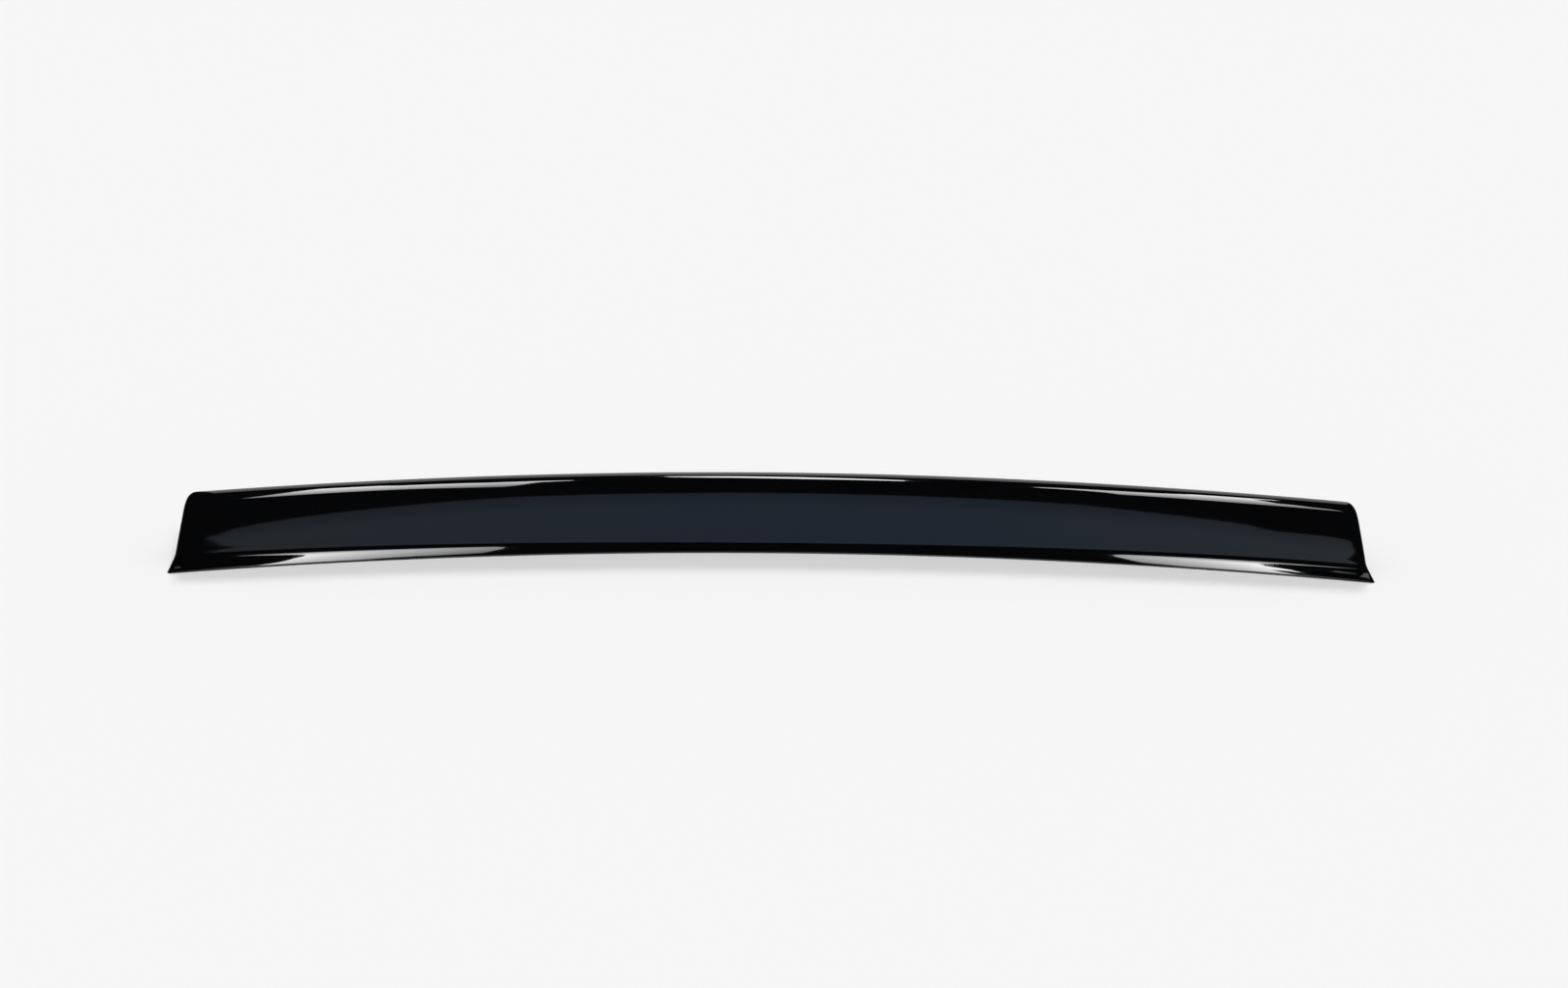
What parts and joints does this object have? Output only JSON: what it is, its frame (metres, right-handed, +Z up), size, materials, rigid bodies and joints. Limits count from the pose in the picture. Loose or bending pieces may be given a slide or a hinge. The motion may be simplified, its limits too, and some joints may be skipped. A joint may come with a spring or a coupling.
{
  "type": "tailgate spoiler",
  "caption": "Slim bowed lip spoiler for a tailgate: a hollow gloss black moulding with a tall front face, a flange that twists along the front, a soft crest and a flat bonding base.",
  "frame": {"origin": "on the base plane, under the middle of the part's box", "axes": "+X across the car, along the span; -Y towards the front of the car, the side that the flange and the tall face look to; +Z up, away from the tailgate skin"},
  "size_m": [1.23, 0.1347, 0.0714],
  "materials": {
    "gloss_black": "high gloss black"
  },
  "bodies": {
    "root": {"spoiler": "gloss_black"}
  },
  "joints": []
}
